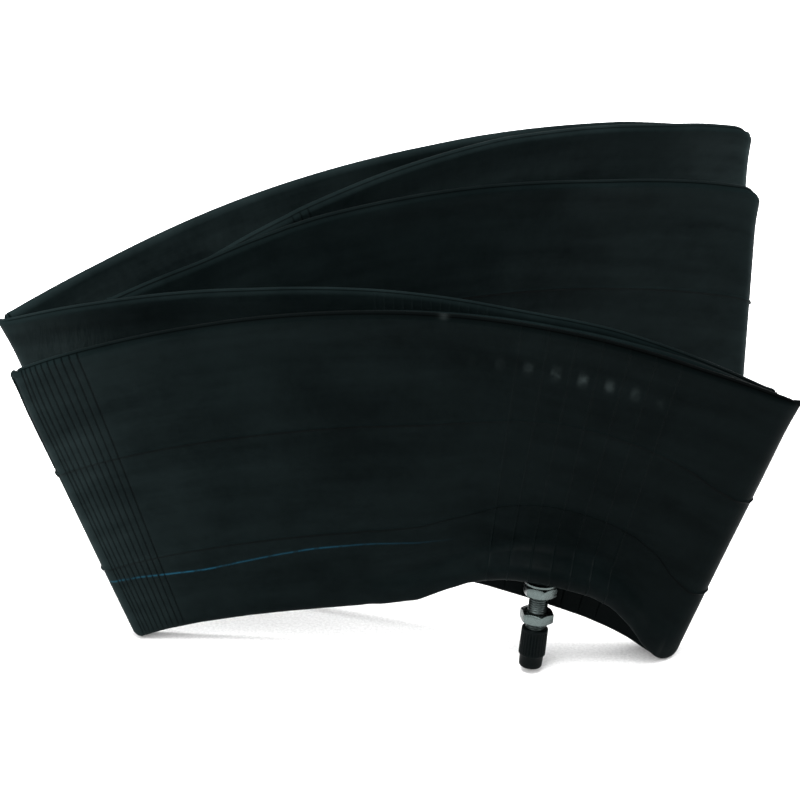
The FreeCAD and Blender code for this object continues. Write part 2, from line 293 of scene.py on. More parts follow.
class Ribbon:
    """Samples round the folded ribbon: where each stands, and the heights of its two edges."""

    def __init__(self):
        upper, lower = corner_arcs(True), corner_arcs(False)
        columns = {key: [] for key in ("top", "bottom", "ridge", "fold", "corner", "tip", "round")}
        for i, row in enumerate(PLAN):
            after = (i + 1) % len(PLAN)
            sweep = np.linalg.norm(upper[i][0] - upper[i][1])
            number = 9 if is_tight(i) else max(3, int(sweep / 2.0))
            share = np.arange(number) / number
            far = np.full(number, FAR)
            self.append(columns, on_arc(upper[i], share), on_arc(lower[i], share), np.zeros(number),
                        np.sin(math.pi * share) if is_tight(i) else np.zeros(number), i,
                        tip_distance(i, share) if is_tight(i) else far, row[4])
            start, end = upper[i][1], upper[after][0]
            start_low, end_low = lower[i][1], lower[after][0]
            length = np.linalg.norm(end - start)
            share = run_shares(i, length)
            ridge = np.zeros(len(share))
            for place, height in ridge_places(i):
                ridge += height * near((share - place) * length, RIDGE_WIDTH)
            far = FAR if length > SHORT_RUN else 0.0
            from_start = share * length + tip_reach(i) if is_tight(i) else FAR + share
            to_end = (1 - share) * length + tip_reach(after) if is_tight(after) else FAR + share
            rounding = np.where(from_start < to_end, row[4], PLAN[after][4])
            self.append(columns, start + (end - start) * share[:, None],
                        start_low + (end_low - start_low) * share[:, None], ridge, 0 * share, i,
                        np.minimum(np.minimum(from_start, to_end), far), rounding)
        self.top, self.bottom = np.concatenate(columns["top"]), np.concatenate(columns["bottom"])
        self.ridge, self.fold = np.concatenate(columns["ridge"]), np.concatenate(columns["fold"])
        self.corner, self.tip = np.concatenate(columns["corner"]), np.concatenate(columns["tip"])
        self.number = len(self.tip)
        rounding = np.maximum(np.concatenate(columns["round"]), 0.01)
        inside = np.clip(rounding - self.tip, 0, rounding)
        self.drop = rounding - np.sqrt(rounding ** 2 - inside ** 2)
        middle = self.at(MIDDLE_HEIGHT)
        steps = np.linalg.norm(np.diff(middle, axis=0), axis=1)
        self.run = np.concatenate([[0], np.cumsum(np.maximum(steps, 1e-6))])
        self.crown = self.solve(self.crown_height)
        self.crown = smooth(self.crown, self.run, 7.0) - self.drop
        self.rim = np.maximum(smooth(self.solve(self.rim_height), self.run, 3.0), 0.0)
        self.front = self.corner == CORNERS.index("front_left")

    @staticmethod
    def append(columns, top, bottom, ridge, fold, i, tip, rounding):
        number = len(top)
        values = (top, bottom, ridge, fold, np.full(number, i), tip, np.broadcast_to(rounding, number))
        for key, value in zip(columns, values):
            columns[key].append(value)

    def at(self, z):
        share = (z / CORNER_HEIGHT)[:, None] if np.ndim(z) else z / CORNER_HEIGHT
        return self.bottom + (self.top - self.bottom) * share

    def rear_share(self, p):
        return np.clip((p[:, 1] - REAR_START_Y) / 3.0 + 0.5, 0, 1)

    def crown_height(self, p):
        mix = self.rear_share(p)
        height = arc_height(FRONT_CROWN, p[:, 0]) * (1 - mix) + arc_height(REAR_CROWN, p[:, 0]) * mix
        for i, row in enumerate(PLAN):
            own = self.corner == i
            height[own] -= along(SAG[layer(row[0])], p[own, 0])
        return height

    def rim_height(self, p):
        mix = self.rear_share(p)
        rear = arc_height(REAR_RIM, p[:, 0])
        return np.maximum(along(FRONT_RIM, p[:, 0]) * (1 - mix) + rear * mix, 0.0)

    def solve(self, height_of):
        z = np.full(self.number, MIDDLE_HEIGHT)
        for _ in range(25):
            z = 0.5 * z + 0.5 * height_of(self.at(z))
        return z

    def normals(self, z):
        """Left-hand normal of the centre line at heights z."""
        p = self.at(z)
        tangent = np.roll(p, -1, axis=0) - np.roll(p, 1, axis=0)
        tangent /= np.linalg.norm(tangent, axis=1)[:, None]
        return np.stack([-tangent[:, 1], tangent[:, 0]], axis=1)


# ---- surface of the tube -----------------------------------------------------------------------
def wave(x, z):
    """Gentle unevenness of the rubber, the same for layers that lie on each other."""
    a = np.sin(x * 0.031 + z * 0.017 + 0.7) + 0.6 * np.sin(x * 0.067 - z * 0.043 + 2.1)
    return 0.34 * a + 0.22 * np.sin(z * 0.075 + x * 0.012 + 1.0)


def crown_bulge(ribbon):
    """How far the crown edge stands out: more on the faces that nothing lies against."""
    open_runs = [CORNERS.index(name) for name in
                 ("front_left", "fifth_left", "fifth_bend", "seventh_bend", "seventh_turn")]
    open_share = np.isin(ribbon.corner, open_runs).astype(float)
    third = (ribbon.corner == CORNERS.index("last_left")) & (ribbon.tip > 4)
    open_share[third] = np.clip((150 - ribbon.top[third, 0]) / 60, 0, 1)
    return 0.3 + 0.6 * smooth(open_share, ribbon.run, 12.0)


def wall_shares():
    """Shares of the wall from top to bottom, closer together at the seams and the dent."""
    shares = list(np.linspace(0, 0.7, 24)) + list(np.linspace(0.7, 1, 17)[1:])
    for seam in SEAMS:
        shares += [1 - seam + step for step in (-0.009, -0.005, -0.0025, 0, 0.0025, 0.005, 0.009)]
    return sorted(shares)


class Row:
    """One line round the ribbon: its heights, and its offsets from the centre plane."""

    def __init__(self, z, offset, side, shade=0.0, seams=(), rear=None, mould_line=False):
        self.z = z
        self.offset = offset
        self.side = side                  # -1 on the front wall, 1 on the rear wall, 0 on an edge
        # shade: painted shade, for rows that lie in the hollow behind the lip
        self.shade = shade                # how much of it lies in the dark hollow behind the lip
        self.seams = seams                # distances from the lines along the wall
        self.rear = side >= 0 if rear is None else rear
        self.mould_line = mould_line


def section_rows(ribbon):
    """Rows of the ribbon's section, from the crown down the front, and up the rear wall."""
    lip = np.where(ribbon.front, ribbon.solve(lambda p: along(LIP, p[:, 0])), 0.0)
    lip_x = ribbon.at(np.maximum(lip, ribbon.rim))[:, 0]
    inside = ribbon.front & (lip_x > LIP_RANGE[0]) & (lip_x < LIP_RANGE[1])
    raised = smooth(np.where(inside, np.maximum(lip - ribbon.rim, 0), 0), ribbon.run, 4.0)
    swell = smooth(np.where(inside, along(SWELL, lip_x), 0), ribbon.run, 4.0)
    lip = ribbon.rim + raised
    dent = np.clip(raised / FULL_DENT, 0, 1)
    bulge = crown_bulge(ribbon)
    lip_round = RIM_ROUND * (1 + dent)
    wall_top = ribbon.crown - CREASE
    rows = []

    def add(*values, **more):
        rows.append(Row(*values, **more))

    def crown_row(angle, side):
        a = math.radians(angle)
        from_mould_line = angle - MOULD_LINE
        rise = MOULD_LINE_RISE * near(from_mould_line, 4.0) if side < 0 else 0.0
        drop = CREASE * (1 - math.cos(a))
        out = (HALF + bulge) * math.sin(a) + rise * math.sin(a)
        add(ribbon.crown - drop + rise * math.cos(a) * 0.6, side * out, side if angle > CROWN_TOP else 0,
            rear=side > 0, mould_line=side < 0 and abs(from_mould_line) < MOULD_LINE_REACH)

    for angle in (0, 12, 21, 26, 30, 34, 39, 50, 63, 77):
        crown_row(angle, -1)
    for a in wall_shares():
        z = wall_top + (lip + lip_round - wall_top) * a
        up = (z - lip) / SWELL_REACH
        push = 1.0 + 0.14 * ease(up / 0.35)
        push = push * (1 - ease((up - 0.42) / 0.36))
        add(z, -HALF - bulge * near(ribbon.crown - z, 8.0) - swell * push, -1, 0.0,
            [(1 - a - seam) * (wall_top - lip - lip_round) for seam in SEAMS])
    top_swell = -rows[-1].offset - HALF
    reach = (HALF + top_swell) * (1 - dent) + dent * np.minimum(HALF + top_swell, 5.0)
    for angle in np.radians([22, 45, 68, 90]):
        add(lip + lip_round * (1 - math.sin(angle)), -HALF - top_swell + reach * (1 - math.cos(angle)), -1)
    under_start = -HALF - top_swell + reach
    flap = 0.4 * dent
    # The rows under the lip and down the flap get painted shade, as much as the dent.
    for a in np.linspace(0, 1, 7)[1:]:
        add(lip + 1.6 * dent * math.sin(math.pi * a * 0.8), under_start + (flap - under_start) * a, -1, dent)
    flap_top = rows[-1].z
    for a in np.linspace(0, 1, 8)[1:]:
        add(flap_top + (ribbon.rim + 0.6 * dent - flap_top) * a, flap, -1, dent)
    base = (flap + 0.5 * (HALF - flap)) * dent
    add(ribbon.rim, base, 0)
    for angle in np.radians([22, 45, 68]):
        add(ribbon.rim + RIM_ROUND * (1 - math.cos(angle)), base + (HALF - base) * math.sin(angle), 1)
    wall_low = ribbon.rim + RIM_ROUND
    for a in reversed(wall_shares()):
        z = wall_low + (wall_top - wall_low) * (1 - a)
        add(z, HALF + 0.3 * near(ribbon.crown - z, 8.0), 1, 0.0,
            [(1 - a - seam) * (wall_top - wall_low) for seam in SEAMS])
    for angle in (77, 63, 50, 37, 24, 12):
        crown_row(angle, 1)
    return rows


def build_tube():
    """The tube's skin: each row of the section, laid along the ribbon."""
    ribbon = Ribbon()
    rows = section_rows(ribbon)
    shape = (ribbon.number, len(rows))
    verts, marks = np.zeros((*shape, 3)), np.zeros((*shape, 4))
    pale, shares = np.zeros(shape), np.zeros(shape)
    height = ribbon.crown - ribbon.rim
    x, y = ribbon.top[:, 0], ribbon.top[:, 1]
    corner_curl = near(ribbon.tip, 15.0) * (x < 60) * (y < 8)
    # Painted light, broad towards the left folds of the front layers, where the light comes from the left.
    left_painted_light = near(ribbon.tip, 32.0) * (x < 70) * (y < 60)
    # Painted highlight along the outermost edges of the back layers' right folds and of the leftmost folds.
    edge_highlight = 1 + 2.2 * near(ribbon.tip, 2.4) * (x > 280) * (y > 100)
    edge_highlight += 0.8 * near(ribbon.tip, 2.4) * (x < 20)
    # Along every fold's edge the bloom colour is partly bloom and partly painted highlight.
    fold_bloom_and_highlight = 0.35 * near(ribbon.tip, 9.0) + 0.55 * left_painted_light
    seam_shown = 1 - 0.8 * near(x - SEAM_GAP[0], SEAM_GAP[1]) * ribbon.front
    level = bloom_and_painted_light(ribbon)
    for j, row in enumerate(rows):
        below = ribbon.crown - row.z
        above = row.z - ribbon.rim
        share = above / height
        shares[:, j] = 2 - share if row.rear else share
        bump, line, rubbed = np.zeros(ribbon.number), np.zeros(ribbon.number), np.zeros(ribbon.number)
        if row.side:
            near_edge = np.clip(np.minimum(below / 0.8, above / 3.0), 0, 1)
            bump += ribbon.ridge * near_edge
            near_edge *= 1 - row.shade
            raised, sunk = np.maximum(ribbon.ridge, 0), np.maximum(-ribbon.ridge, 0)
            # Dark lines: painted shade in the sunk grooves, and a plain dark line on the raised ridges.
            line += sunk / 0.3 * near_edge + raised * 0.8 * near_edge
            rubbed += raised * near_edge
            for away in row.seams:
                bump += SEAM_RISE * near(away, SEAM_WIDTH) * (1 + 1.5 * near(ribbon.tip, 3.5))
                # Painted shadow just under each raised seam.
                line += near(away + 0.35, 0.4) * seam_shown
        knuckle = ribbon.fold * 0.9 * near(below, 10.0)
        p = ribbon.at(row.z)
        out = row.offset + np.sign(row.offset) * bump - knuckle * (row.offset < 0)
        p += ribbon.normals(row.z) * out[:, None]
        p[:, 0] += 1.8 * corner_curl * near(below, 11.0)
        p[:, 1] += wave(p[:, 0], row.z) * np.clip(row.z / 30.0, 0, 1)
        verts[:, j, :2] = (p - ORIGIN) * MM
        verts[:, j, 2] = row.z * MM
        mould_line = 1 - near(ribbon.tip, 4.0) if row.mould_line else 0.0
        marks[:, j, 0] = np.clip(line + mould_line * 0.9, 0, 1)
        # Green: wear on the raised ridges, bloom near the crown edge, and painted highlight on the crown edge
        # and along the folds.
        marks[:, j, 1] = 0.3 * near(below, 6.0) + fold_bloom_and_highlight + rubbed
        # Blue: painted shade in the hollow behind the lip.
        marks[:, j, 2] = row.shade
        marks[:, j, 3] = near(below, 2.0)
        # Painted shade: the crown edge is darkened against the light it catches from above. On the palest
        # layers the painted light is cut back near the crown, where the layers in front shade them less.
        crown_painted_shade = 1 - np.clip(0.95 - 0.3 * level, 0, 1) * near(below, 1.8)
        top_light_cut = 1 - 0.55 * np.clip((level - 1.5) / 1.5, 0, 1) * near(below, 9.0)
        # Faces turned back keep at most the plain level, so the painted light goes only on the faces turned
        # to the front.
        turned_back = row.side * ribbon.normals(row.z)[:, 1] > 0.2
        own_level = np.where(turned_back, np.minimum(level, 1.0), level)
        pale[:, j] = np.clip(own_level * crown_painted_shade * top_light_cut * edge_highlight / PALE_SCALE, 0, 1)
    return tube_object(ribbon, verts, shares, marks, pale)


def tube_object(ribbon, verts, shares, marks, pale):
    """The closed mesh, with what its material reads.

    Colour "marks": dark lines, with painted shade in the grooves and under the seams; wear and
    bloom, with painted highlight on the crown edges and the folds; painted shade in the hollow
    behind the lip; and the crown edge. Value "pale": the level of the bloom together with painted
    light and shade. UV "ribbon": metres along the run from the left fold, and the share of the
    wall's height, which goes on from 1 to 2 down the rear wall.
    """
    number, section = shares.shape
    run = ribbon.run * MM
    faces, uvs = [], []
    for i in range(number):
        i2 = (i + 1) % number
        far = run[i2] if i2 else run[i] + 0.002
        for j in range(section):
            j2 = (j + 1) % section
            faces.append((i * section + j, i2 * section + j, i2 * section + j2, i * section + j2))
            end, end2 = (shares[i, j2], shares[i2, j2]) if j2 else (1.0, 1.0)
            uvs += [(run[i], shares[i, j]), (far, shares[i2, j]), (far, end2), (run[i], end)]
    mesh = bpy.data.meshes.new("tube_skin")
    mesh.from_pydata(verts.reshape(-1, 3).tolist(), [], faces)
    mesh.uv_layers.new(name="ribbon").data.foreach_set("uv", np.asarray(uvs, np.float32).ravel())
    marks_layer = mesh.color_attributes.new("marks", "FLOAT_COLOR", "POINT")
    marks_layer.data.foreach_set("color", np.clip(marks, 0, 1).astype(np.float32).ravel())
    pale_layer = mesh.attributes.new("pale", "FLOAT", "POINT")
    pale_layer.data.foreach_set("value", pale.astype(np.float32).ravel())
    return new_object("tube_skin", mesh)


def new_object(name, mesh, smooth_angle=None):
    """Joins doubled points, turns the faces outward and links the object."""
    tidy = bmesh.new()
    tidy.from_mesh(mesh)
    bmesh.ops.remove_doubles(tidy, verts=tidy.verts, dist=0.00002)
    bmesh.ops.recalc_face_normals(tidy, faces=tidy.faces)
    if smooth_angle:
        for edge in tidy.edges:
            edge.smooth = len(edge.link_faces) == 2 and edge.calc_face_angle() < math.radians(smooth_angle)
    tidy.to_mesh(mesh)
    tidy.free()
    if smooth_angle:
        mesh.polygons.foreach_set("use_smooth", [True] * len(mesh.polygons))
    else:
        mesh.shade_smooth()
    obj = bpy.data.objects.new(name, mesh)
    bpy.context.scene.collection.objects.link(obj)
    return obj


# ---- the valve's pieces ------------------------------------------------------------------------
def valve_to_world(points):
    """From the valve's own frame, where +Z runs from seat to tip, to the object's frame, in metres."""
    axis = Vector((-math.tan(math.radians(VALVE_LEAN_SIDE)), -math.tan(math.radians(VALVE_LEAN_FRONT)), -1))
    turn = np.array(Vector((0, 0, 1)).rotation_difference(axis.normalized()).to_matrix())
    return (points @ turn.T + VALVE_BASE - np.append(ORIGIN, 0)) * MM


def lathe(name, rings, segments):
    """Closed surface of rings (distance, radius); a radius may vary with the angle."""
    angles = np.arange(segments) / segments * 2 * math.pi
    points = []
    for t, radius in rings:
        r = radius + 0 * angles
        points.append(np.stack([r * np.cos(angles), r * np.sin(angles), np.full(segments, t)], axis=1))
    count = len(rings)
    faces = []
    for i in range(count):
        i2 = (i + 1) % count
        for k in range(segments):
            k2 = (k + 1) % segments
            faces.append((i * segments + k, i2 * segments + k, i2 * segments + k2, i * segments + k2))
    mesh = bpy.data.meshes.new(name)
    mesh.from_pydata(valve_to_world(np.concatenate(points)).tolist(), [], faces)
    return new_object(name, mesh, 38)


def stem():
    """Threaded stem with its flange, bore and core socket."""
    segments = 48
    angles = np.arange(segments) / segments
    low, high, flange = FLANGE
    rings = [(STEM_START, STEM_BORE), (STEM_START, THREAD_CREST), (low, THREAD_CREST), (low, flange),
             (high, flange), (high, THREAD_CREST), (-1.0, THREAD_CREST)]
    for t in np.arange(-0.9, STEM_TIP - 0.45, 0.1):
        saw = np.abs(2 * ((t / THREAD_PITCH - angles) % 1.0) - 1)
        rings.append((t, THREAD_CREST - THREAD_DEPTH * ease(saw)))
    socket_end = STEM_TIP - CORE_SOCKET_DEPTH
    rings += [(STEM_TIP - 0.35, 3.5), (STEM_TIP, 3.2), (STEM_TIP, 2.75), (STEM_TIP - 0.2, CORE_SOCKET),
              (socket_end, CORE_SOCKET), (socket_end, STEM_BORE)]
    return lathe("stem_thread", rings, segments)


def washer():
    hole = 4.02
    return lathe("washer", [(0.7, hole), (0.7, 4.9), (0.12, 6.35), (0.04, 6.58), (0.14, 6.7), (0.78, 6.7),
                            (0.96, 6.6), (1.6, 5.8), (1.68, 5.6), (1.68, hole)], 64)


def cap():
    """Dust cap: fluted grip, plain nose and blind bore."""
    flutes, per_flute = 26, 8
    segments = flutes * per_flute
    groove = np.clip(np.cos(np.arange(segments) / per_flute * 2 * math.pi), 0, 1) ** 0.7
    rings = [(0, CAP_BORE), (0, 4.75), (0.06, 4.9), (0.3, 5.12), (0.6, CAP_GRIP), (1.0, CAP_GRIP)]
    flute_depths = [(1.2, 0.12), (1.5, 0.26), (2.0, 0.3), (5.8, 0.3), (10.2, 0.3), (10.6, 0.26), (10.9, 0.12)]
    rings += [(t, CAP_GRIP - depth * groove) for t, depth in flute_depths]
    rings += [(11.1, CAP_GRIP), (11.3, 5.2), (11.46, 5.05), (11.6, 4.8), (11.8, CAP_NOSE), (14.3, 4.6),
              (15.8, 4.52), (16.25, 4.42), (16.6, 4.15), (16.75, 3.85), (16.8, 3.5), (16.8, 0.001),
              (15.0, 0.001), (15.0, CAP_BORE)]
    return lathe("cap", [(CAP_START + t, radius) for t, radius in rings], segments)


def bevelled(node_name, width):
    """Copy of a CAD piece with its sharp edges softened."""
    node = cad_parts[node_name]
    mesh = node.data.copy()
    work = bmesh.new()
    work.from_mesh(mesh)
    bmesh.ops.remove_doubles(work, verts=work.verts, dist=0.000005)
    bmesh.ops.dissolve_limit(work, angle_limit=math.radians(1.0), verts=work.verts, edges=work.edges)
    sharp = [edge for edge in work.edges
             if len(edge.link_faces) == 2 and edge.calc_face_angle() > math.radians(28)]
    bmesh.ops.bevel(work, geom=sharp, offset=width * MM, segments=2, profile=0.5, affect="EDGES",
                    clamp_overlap=True)
    work.to_mesh(mesh)
    work.free()
    obj = new_object("soft_" + node_name, mesh, 30)
    obj.matrix_world = node.matrix_world.copy()
    return obj


# ---- materials ---------------------------------------------------------------------------------
class Nodes:
    """Small helper that builds a node tree by name."""

    def __init__(self, name):
        self.material = bpy.data.materials.new(name)
        self.material.use_nodes = True
        self.tree = self.material.node_tree
        self.tree.nodes.clear()
        out = self.tree.nodes.new("ShaderNodeOutputMaterial")
        self.bsdf = self.tree.nodes.new("ShaderNodeBsdfPrincipled")
        self.tree.links.new(self.bsdf.outputs[0], out.inputs["Surface"])

    def new(self, kind, **values):
        node = self.tree.nodes.new(kind)
        for key, value in values.items():
            if hasattr(node, key):
                setattr(node, key, value)
            else:
                node.inputs[key].default_value = value
        return node

    def put(self, socket, value):
        """A number, a colour or another node's output goes into a socket."""
        if isinstance(value, bpy.types.NodeSocket):
            self.tree.links.new(value, socket)
        else:
            socket.default_value = value

    def ramp(self, source, low, high, colours):
        node = self.new("ShaderNodeValToRGB")
        for element, position, colour in zip(node.color_ramp.elements, (low, high), colours):
            element.position = position
            element.color = (*colour, 1)
        self.put(node.inputs[0], source)
        return node.outputs[0]

    def curve(self, source, points):
        """A smooth curve through a few points, of values between 0 and 1."""
        node = self.new("ShaderNodeValToRGB")
        node.color_ramp.interpolation = "CARDINAL"
        elements = node.color_ramp.elements
        while len(elements) < len(points):
            elements.new(0.5)
        for element, (position, level) in zip(elements, points):
            element.position = position
            element.color = (level, level, level, 1)
        self.put(node.inputs[0], source)
        return node.outputs[0]

    def grey(self, source, low, high, first, last):
        return self.ramp(source, low, high, ((first,) * 3, (last,) * 3))

    def maths(self, operation, *values):
        node = self.new("ShaderNodeMath", operation=operation)
        for socket, value in zip(node.inputs, values):
            self.put(socket, value)
        return node.outputs[0]

    def mix(self, share, first, second):
        node = self.new("ShaderNodeMix", data_type="RGBA")
        self.put(node.inputs[0], share)
        self.put(node.inputs[6], (*first, 1) if isinstance(first, tuple) else first)
        self.put(node.inputs[7], (*second, 1) if isinstance(second, tuple) else second)
        return node.outputs[2]

    def scale_colour(self, colour, amount):
        node = self.new("ShaderNodeVectorMath", operation="SCALE")
        self.put(node.inputs[0], colour)
        self.put(node.inputs["Scale"], amount)
        return node.outputs[0]

    def add_colours(self, first, second):
        node = self.new("ShaderNodeVectorMath", operation="ADD")
        self.put(node.inputs[0], first)
        self.put(node.inputs[1], second)
        return node.outputs[0]

    def spot(self, place, centre, widths):
        """Bell curve in space round a centre."""
        parts = self.new("ShaderNodeSeparateXYZ")
        self.put(parts.inputs[0], place)
        hills = [self.hill(parts.outputs[i], centre[i], widths[i]) for i in range(3)]
        return self.maths("MULTIPLY", self.maths("MULTIPLY", hills[0], hills[1]), hills[2])

    def noise(self, vector, scale, detail=4.0, rough=0.6):
        node = self.new("ShaderNodeTexNoise", Scale=scale, Detail=detail, Roughness=rough)
        self.put(node.inputs["Vector"], vector)
        return node.outputs[0]

    def combine(self, x, y, z=0.0):
        node = self.new("ShaderNodeCombineXYZ")
        for socket, value in zip(node.inputs, (x, y, z)):
            self.put(socket, value)
        return node.outputs[0]

    def hill(self, value, centre, width):
        """Bell curve of a value round a centre."""
        away = self.maths("DIVIDE", self.maths("SUBTRACT", value, centre), width)
        return self.maths("POWER", math.e, self.maths("MULTIPLY", self.maths("MULTIPLY", away, away), -1.0))

    def bump(self, height, strength, distance):
        node = self.new("ShaderNodeBump", Strength=strength, Distance=distance)
        self.put(node.inputs["Height"], height)
        self.put(self.bsdf.inputs["Normal"], node.outputs[0])


RUBBER_DARK = (0.0008, 0.0018, 0.0019)
RUBBER_LIGHT = (0.0024, 0.0044, 0.0046)
CHALK_AND_LIT_DARK = (0.0010, 0.0015, 0.0016)
CHALK_AND_LIT_LIGHT = (0.0034, 0.0049, 0.0050)
BLOOM_AND_HIGHLIGHT = (0.0068, 0.0120, 0.0125)
TALC = (0.0200, 0.0270, 0.0270)
STRIPE_BLUE = (0.005, 0.040, 0.066)
LINE_AND_PAINTED_SHADE = (0.0002, 0.0004, 0.0004)
HOLLOW_PAINTED_SHADE = (0.0003, 0.0007, 0.0007)
SCUFF_GREY = (0.012, 0.015, 0.015)
TONE_RANGE = (0.4, 0.66)            # the mixed noises mostly lie between these
STRIPE_RUN = 0.2                    # places along the painted stripe are shares of this run, in metres
STRIPE_WIDTH = 0.0026
# Height of the painted stripe, as a share of the wall, against its place along that run.
STRIPE_LEVEL = [(0.0, 0.216), (0.2, 0.190), (0.34, 0.197), (0.46, 0.210), (0.55, 0.214), (0.65, 0.212),
                (0.77, 0.190), (1.0, 0.150)]
# How much paint the stripe has kept, along the same run.
STRIPE_PAINT = [(0.0, 0.55), (0.19, 0.72), (0.27, 0.5), (0.42, 0.36), (0.5, 0.45), (0.56, 0.3), (0.72, 0.14),
                (0.8, 0.0)]
TALC_START, TALC_PITCH = 0.1766, 0.0095      # a row of talc spots along the run, in metres
TALC_MIDDLE, TALC_LEVEL = 0.198, 0.846       # where the row is strongest, along the run and up the wall
# Scuffs on the crown edges: centre and widths, in metres.
SCUFFS = [((0.0177, -0.0845, 0.1518), (0.0016, 0.003, 0.0010)),
          ((0.0586, 0.0657, 0.1530), (0.0022, 0.003, 0.0012))]
PUCKERS = ((-0.122, -0.036, 0.112), (0.022, 0.014, 0.010))


def talc_amount(nodes, place, run, share):
    wave_at = nodes.maths("MULTIPLY", nodes.maths("SUBTRACT", run, TALC_START), 2 * math.pi / TALC_PITCH)
    spots = nodes.grey(nodes.maths("SINE", wave_at), 0.1, 0.95, 0.0, 1.0)
    talc = nodes.maths("MULTIPLY", spots, nodes.hill(share, TALC_LEVEL, 0.020))
    talc = nodes.maths("MULTIPLY", talc, nodes.hill(run, TALC_MIDDLE, 0.022))
    return nodes.maths("MULTIPLY", talc, nodes.grey(nodes.noise(place, 260.0, 4.0), 0.35, 0.6, 0.1, 1.0))


def stripe_amount(nodes, place, run, share):
    along_stripe = nodes.maths("DIVIDE", run, STRIPE_RUN)
    stripe = nodes.hill(share, nodes.curve(along_stripe, STRIPE_LEVEL), STRIPE_WIDTH)
    stripe = nodes.maths("MULTIPLY", stripe, nodes.curve(along_stripe, STRIPE_PAINT))
    return nodes.maths("MULTIPLY", stripe, nodes.grey(nodes.noise(place, 330.0, 3.0), 0.36, 0.5, 0.35, 1.0))


def pucker_height(nodes, place):
    """Small upright puckers near the left fold of the third layer."""
    stretched = nodes.new("ShaderNodeVectorMath", operation="MULTIPLY")
    nodes.put(stretched.inputs[0], place)
    stretched.inputs[1].default_value = (330.0, 0.0, 90.0)
    return nodes.maths("MULTIPLY", nodes.noise(stretched.outputs[0], 1.0, 2.0), nodes.spot(place, *PUCKERS))


def tube_material():
    nodes = Nodes("butyl_rubber")
    place = nodes.new("ShaderNodeTexCoord").outputs["Object"]
    parts = nodes.new("ShaderNodeSeparateXYZ")
    nodes.put(parts.inputs[0], nodes.new("ShaderNodeUVMap", uv_map="ribbon").outputs[0])
    run, share = parts.outputs[0], parts.outputs[1]
    marks_source = nodes.new("ShaderNodeAttribute", attribute_name="marks")
    marks = nodes.new("ShaderNodeSeparateColor")
    nodes.put(marks.inputs[0], marks_source.outputs["Color"])
    line, wear_and_highlight, hollow, crown = *marks.outputs, marks_source.outputs["Alpha"]

    cloud = nodes.noise(place, 26.0, 5.0, 0.62)
    streak_place = nodes.combine(nodes.maths("MULTIPLY", run, 13.0), nodes.maths("MULTIPLY", share, 11.0))
    streak = nodes.noise(streak_place, 1.0, 5.0, 0.6)
    speck = nodes.noise(place, 420.0, 3.0)
    tone = nodes.maths("ADD", nodes.maths("MULTIPLY", cloud, 0.45), nodes.maths("MULTIPLY", streak, 0.45))
    tone = nodes.maths("ADD", tone, nodes.maths("MULTIPLY", speck, 0.12))

    base = nodes.ramp(tone, *TONE_RANGE, (RUBBER_DARK, RUBBER_LIGHT))
    # Wear and bloom, with painted highlight on the crown edges and folds, turn the rubber towards the bloom
    # colour.
    bloom = nodes.maths("MULTIPLY", wear_and_highlight, nodes.grey(streak, 0.3, 0.7, 0.35, 1.0))
    base = nodes.mix(nodes.maths("MULTIPLY", bloom, 0.5), base, BLOOM_AND_HIGHLIGHT)
    base = nodes.mix(nodes.maths("MULTIPLY", talc_amount(nodes, place, run, share), 0.75), base, TALC)
    base = nodes.mix(stripe_amount(nodes, place, run, share), base, STRIPE_BLUE)
    # Dark lines, partly painted shade in the grooves and under the seams.
    base = nodes.mix(nodes.maths("MULTIPLY", line, 0.8), base, LINE_AND_PAINTED_SHADE)
    # Painted shade in the hollow behind the lip.
    base = nodes.mix(nodes.maths("MULTIPLY", hollow, 0.6), base, HOLLOW_PAINTED_SHADE)

    # The pale level is partly bloom and partly painted light and shade: up to a level of 1 it scales the
    # rubber's colour, and above it a chalk colour is added.
    pale = nodes.new("ShaderNodeAttribute", attribute_name="pale").outputs["Fac"]
    pale = nodes.maths("MULTIPLY", pale, PALE_SCALE)
    chalk = nodes.ramp(tone, *TONE_RANGE, (CHALK_AND_LIT_DARK, CHALK_AND_LIT_LIGHT))
    chalk_and_light_level = nodes.maths("MAXIMUM", nodes.maths("SUBTRACT", pale, 1.0), 0.0)
    base = nodes.add_colours(nodes.scale_colour(base, nodes.maths("MINIMUM", pale, 1.0)),
                             nodes.scale_colour(chalk, chalk_and_light_level))
    scuff = nodes.maths("ADD", nodes.spot(place, *SCUFFS[0]), nodes.spot(place, *SCUFFS[1]))
    scuff = nodes.maths("MULTIPLY", nodes.maths("MINIMUM", scuff, 1.0), 0.4)
    base = nodes.mix(scuff, base, SCUFF_GREY)

    nodes.put(nodes.bsdf.inputs["Base Color"], base)
    nodes.put(nodes.bsdf.inputs["Roughness"], nodes.grey(tone, *TONE_RANGE, 0.5, 0.38))
    nodes.put(nodes.bsdf.inputs["Specular IOR Level"], nodes.grey(crown, 0.0, 1.0, 0.009, 0.003))
    nodes.put(nodes.bsdf.inputs["Sheen Weight"], nodes.grey(crown, 0.0, 1.0, 0.006, 0.0))
    nodes.bsdf.inputs["Sheen Roughness"].default_value = 0.35
    nodes.bsdf.inputs["Sheen Tint"].default_value = (0.75, 1.0, 1.0, 1.0)
    puckers = nodes.maths("MULTIPLY", pucker_height(nodes, place), 70.0)
    nodes.bump(nodes.maths("ADD", nodes.noise(place, 1300.0, 3.0), puckers), 0.12, 0.0002)
    return nodes.material


